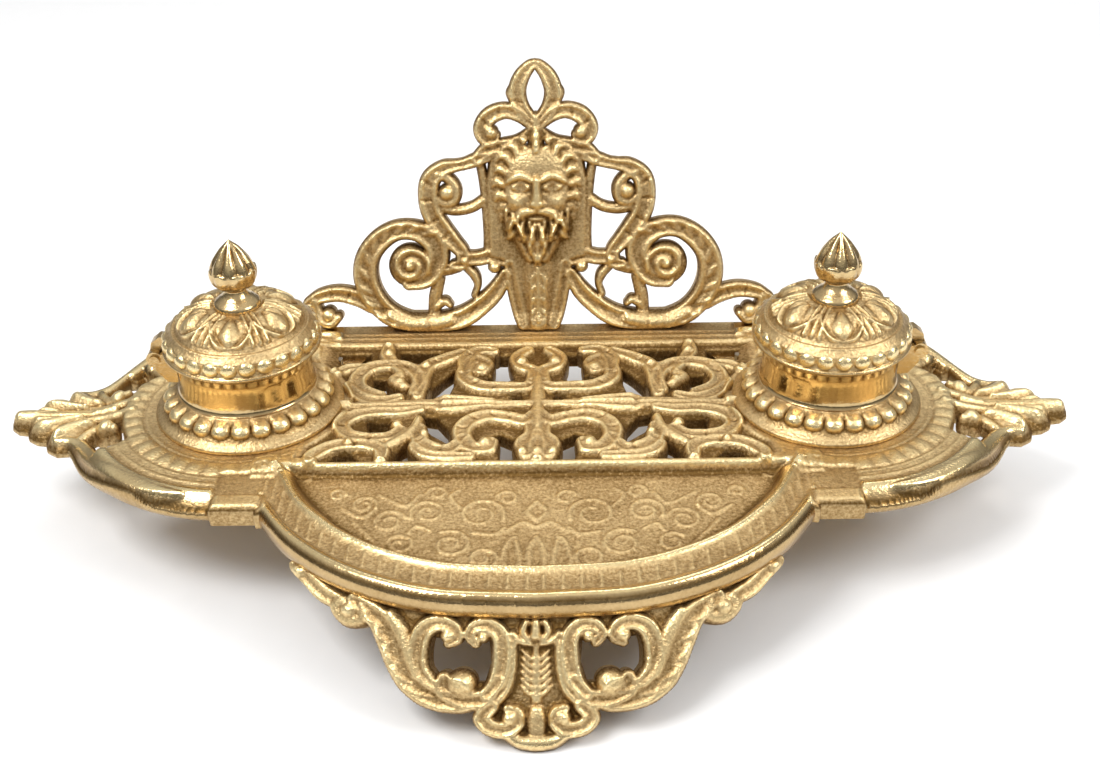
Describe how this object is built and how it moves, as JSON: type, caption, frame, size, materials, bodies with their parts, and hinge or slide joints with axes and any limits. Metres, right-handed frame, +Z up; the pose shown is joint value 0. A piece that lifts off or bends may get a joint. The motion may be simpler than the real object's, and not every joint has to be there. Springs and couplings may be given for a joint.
{
  "type": "double inkwell desk stand",
  "caption": "Ornate cast brass desk stand with two hinged-lid ink pots, a pierced deck, a pen tray, a pierced scroll gallery behind and a pierced apron in front.",
  "frame": {"origin": "centre of the bounding box at the table", "axes": "+X to the right along the line of the pots, +Y towards the gallery at the back, +Z up"},
  "size_m": [0.334, 0.1917, 0.121],
  "materials": {
    "cast_brass": "satin cast, polished waists",
    "steel": "dull",
    "porcelain": "glazed"
  },
  "bodies": {
    "stand": {"base_casting": "cast_brass", "front_apron": "cast_brass", "rear_gallery": "cast_brass", "well_left": "cast_brass", "well_right": "cast_brass", "hinge_fork_left": "cast_brass", "hinge_fork_right": "cast_brass", "rear_foot_left": "cast_brass", "rear_foot_right": "cast_brass", "well_washers": "cast_brass", "well_nuts": "cast_brass", "hinge_pin_left": "cast_brass", "hinge_pin_right": "cast_brass", "apron_screws": "steel", "gallery_screws": "steel", "rear_foot_screws": "steel", "liner_left": "porcelain", "liner_right": "porcelain"},
    "left_lid": {"lid_left": "cast_brass", "finial_left": "cast_brass", "finial_nut_left": "cast_brass"},
    "right_lid": {"lid_right": "cast_brass", "finial_right": "cast_brass", "finial_nut_right": "cast_brass"}
  },
  "joints": [
    {"name": "left_lid_hinge", "type": "hinge", "parent": "stand", "child": "left_lid", "pos_m": [-0.1166, 0.02195, 0.054], "axis": [0, -1, 0], "range_deg": [0, 100]},
    {"name": "right_lid_hinge", "type": "hinge", "parent": "stand", "child": "right_lid", "pos_m": [0.1166, 0.02195, 0.054], "axis": [0, 1, 0], "range_deg": [0, 100]}
  ]
}
